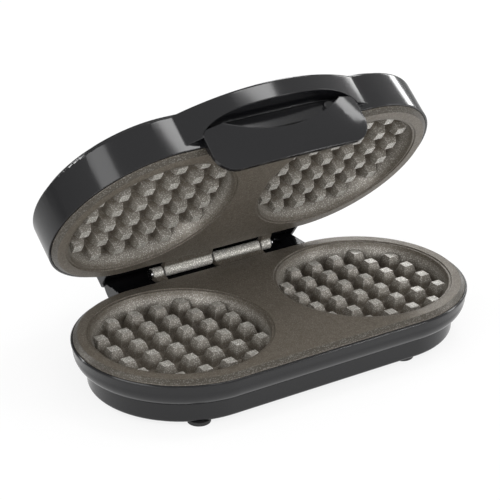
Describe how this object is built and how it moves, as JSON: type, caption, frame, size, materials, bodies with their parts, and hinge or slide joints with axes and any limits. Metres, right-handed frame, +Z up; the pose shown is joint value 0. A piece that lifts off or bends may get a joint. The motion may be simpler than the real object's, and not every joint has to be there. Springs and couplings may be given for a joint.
{
  "type": "double waffle maker",
  "caption": "Black countertop double waffle maker with a hinged lid, round stud-patterned plates side by side and a lift handle at the front.",
  "frame": {"origin": "on the table, under the middle of the two cooking plates", "axes": "+X along the body, +Y back to the hinge, +Z up"},
  "size_m": [0.3008, 0.1967, 0.2002],
  "materials": {
    "housing_plastic": "high-gloss black moulding",
    "nonstick_casting": "die-cast aluminium with a dark satin non-stick coating",
    "steel": "plain ground steel",
    "spring_steel": "pressed steel strip",
    "screw_steel": "zinc-plated screws",
    "element_sheath": "dull steel tube",
    "reflector_sheet": "bright rolled aluminium sheet",
    "thermostat_body": "dark moulded body with plated tabs",
    "tinned_brass": "tinned brass",
    "ceramic": "unglazed white ceramic",
    "lead_sleeve": "white silicone sleeve",
    "board": "bonded paper board",
    "lamp_glass": "clear neon lamp",
    "red_lens": "translucent red window",
    "green_lens": "translucent green window",
    "black_rubber": "matt black rubber"
  },
  "bodies": {
    "base": {"base_housing": "housing_plastic", "base_leads": "lead_sleeve", "bottom_cover": "housing_plastic", "bottom_cover_screws": "screw_steel", "cord_grommet": "black_rubber", "foot_front_left": "black_rubber", "foot_front_right": "black_rubber", "foot_rear_left": "black_rubber", "foot_rear_right": "black_rubber", "fuse_clip": "spring_steel", "ground_lug": "tinned_brass", "hinge_pin": "steel", "hinge_pin_clip": "spring_steel", "lower_element_clip_screws": "screw_steel", "lower_element_clips": "spring_steel", "lower_heating_element": "element_sheath", "lower_plate": "nonstick_casting", "lower_reflector": "reflector_sheet", "lower_reflector_screws": "screw_steel", "small_screws": "screw_steel", "terminal_block": "ceramic", "terminal_screws": "tinned_brass", "thermal_fuse": "reflector_sheet", "thermostat": "thermostat_body"},
    "lid": {"handle": "housing_plastic", "handle_screws": "screw_steel", "lamp_board": "board", "lid_housing": "housing_plastic", "lid_leads": "lead_sleeve", "lid_screws": "screw_steel", "lid_top_cover": "housing_plastic", "power_lamp": "lamp_glass", "power_light_lens": "red_lens", "ready_lamp": "lamp_glass", "ready_light_lens": "green_lens", "upper_element_clip_screws": "screw_steel", "upper_element_clips": "spring_steel", "upper_heating_element": "element_sheath", "upper_plate": "nonstick_casting", "upper_reflector": "reflector_sheet", "upper_reflector_screws": "screw_steel"}
  },
  "joints": [
    {"name": "lid_hinge", "type": "hinge", "parent": "base", "child": "lid", "pos_m": [0, 0.0836, 0.0396], "axis": [-1, 0, 0], "range_deg": [-53.2, 46.8]}
  ]
}
